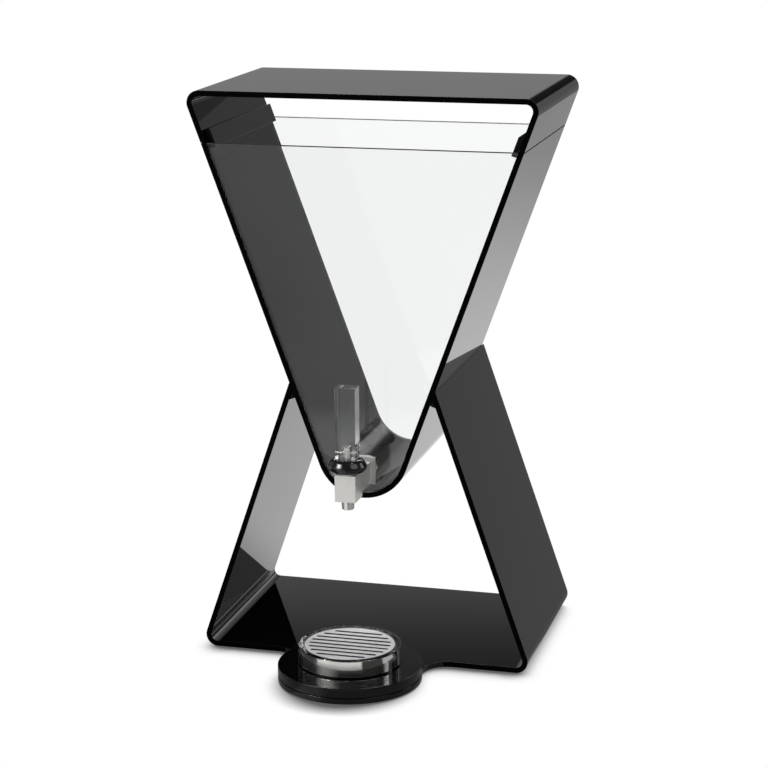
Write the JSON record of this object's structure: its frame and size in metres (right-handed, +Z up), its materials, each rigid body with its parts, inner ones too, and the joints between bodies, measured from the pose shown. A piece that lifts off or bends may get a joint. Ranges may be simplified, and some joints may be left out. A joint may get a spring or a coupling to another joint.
{
  "type": "beverage dispenser",
  "caption": "V-shaped acrylic drink dispenser with black sides, clear front and back, lift-off lid, bent stand, tilt-handle tap and round drip tray with a slotted grate.",
  "frame": {"origin": "on the floor, under the middle of the whole object's box", "axes": "+X to the right of someone facing the tap, +Y from the tap towards the back, +Z up"},
  "size_m": [0.3542, 0.3412, 0.5815],
  "materials": {
    "black_acrylic": "polished",
    "clear_acrylic": "polished",
    "brushed_steel": "brushed",
    "soft_black": "matte",
    "black_bonnet": "polished"
  },
  "bodies": {
    "stand": {"base_frame": "black_acrylic", "tray_plinth": "black_acrylic", "cradle_bar_left": "black_acrylic", "cradle_bar_right": "black_acrylic", "foot_pads": "soft_black"},
    "tank": {"tank_wall": "black_acrylic", "front_panel": "clear_acrylic", "back_panel": "clear_acrylic", "tap_body": "brushed_steel", "tap_spout": "brushed_steel", "tap_flange": "brushed_steel", "tap_shank": "brushed_steel", "outer_washer": "soft_black", "inner_washer": "soft_black", "lock_nut": "brushed_steel", "tap_bonnet": "black_bonnet", "valve_spring": "brushed_steel"},
    "plunger": {"valve_stem": "brushed_steel", "seat_cup": "soft_black", "handle_pin": "brushed_steel"},
    "handle": {"tap_handle": "clear_acrylic"},
    "lid": {"lid_shell": "black_acrylic", "lid_rail_left": "black_acrylic", "lid_rail_right": "black_acrylic"},
    "tray": {"drip_tray": "clear_acrylic"},
    "grate": {"drip_grate": "brushed_steel"}
  },
  "joints": [
    {"name": "tank_lift", "type": "slide", "parent": "stand", "child": "tank", "axis": [0, 0, 1], "range_m": [0, 0.13]},
    {"name": "lid_lift", "type": "slide", "parent": "tank", "child": "lid", "axis": [0, 0, 1], "range_m": [0, 0.08]},
    {"name": "stem_lift", "type": "slide", "parent": "tank", "child": "plunger", "axis": [0, 0, 1], "range_m": [0, 0.0033], "deforming": ["valve_spring"]},
    {"name": "handle_tilt", "type": "hinge", "parent": "plunger", "child": "handle", "pos_m": [0, -0.0981, 0.237], "axis": [1, 0, 0], "range_deg": [0, 25], "stiffness_Nm_per_rad": 0.26, "springref_deg": -15.47},
    {"name": "tray_lift", "type": "slide", "parent": "stand", "child": "tray", "axis": [0, 0, 1], "range_m": [0, 0.06]},
    {"name": "grate_lift", "type": "slide", "parent": "tray", "child": "grate", "axis": [0, 0, 1], "range_m": [0, 0.03]}
  ],
  "couplings": [
    {"joint": "stem_lift", "follows": "handle_tilt", "m_per_rad": 0.0074}
  ]
}
